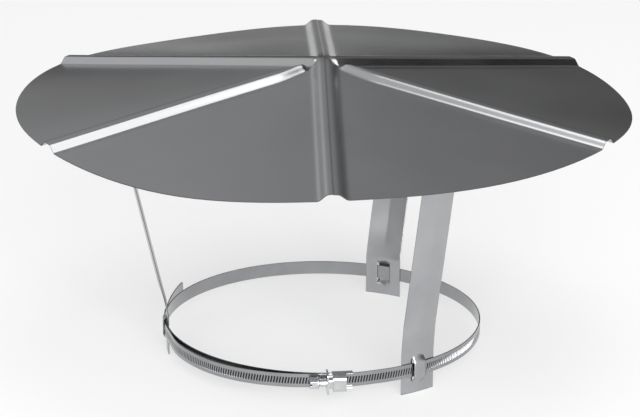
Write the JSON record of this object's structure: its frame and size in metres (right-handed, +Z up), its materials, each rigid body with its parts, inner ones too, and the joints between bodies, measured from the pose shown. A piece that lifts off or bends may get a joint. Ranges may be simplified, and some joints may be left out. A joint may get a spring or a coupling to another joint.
{
  "type": "chimney rain cap",
  "caption": "Round ribbed rain cap for a flue pipe: a shallow conical hood on creased strap legs, held round the pipe by a band with a worm screw.",
  "frame": {"origin": "on the axis of the hood and the flue pipe, level with the bottom of the legs", "axes": "+Z up along the axis; -Y towards the rib of the hood that faces the camera, near the worm screw; +X to the right in the picture"},
  "size_m": [0.3899, 0.39, 0.194],
  "materials": {
    "cap": "satin stainless sheet",
    "leg_front": "satin stainless strip",
    "leg_rear": "satin stainless strip",
    "leg_left": "satin stainless strip",
    "worm_band": "bright rolled stainless band",
    "worm_housing": "pressed stainless",
    "worm_saddle": "pressed stainless",
    "worm_screw": "zinc-bright steel"
  },
  "bodies": {
    "hood_and_legs": {"cap": "cap", "leg_front": "leg_front", "leg_rear": "leg_rear", "leg_left": "leg_left"},
    "clamp": {"worm_band": "worm_band", "worm_housing": "worm_housing", "worm_saddle": "worm_saddle"},
    "screw": {"worm_screw": "worm_screw"}
  },
  "joints": [
    {"name": "clamp_turn", "type": "hinge", "parent": "hood_and_legs", "child": "clamp", "pos_m": [0, 0, 0.0155], "axis": [0, 0, 1], "range_deg": [-8, 8]},
    {"name": "screw_turn", "type": "hinge", "parent": "clamp", "child": "screw", "pos_m": [0.00748, -0.10699, 0.0155], "axis": [-0.9976, -0.0698, 0], "continuous": true}
  ]
}
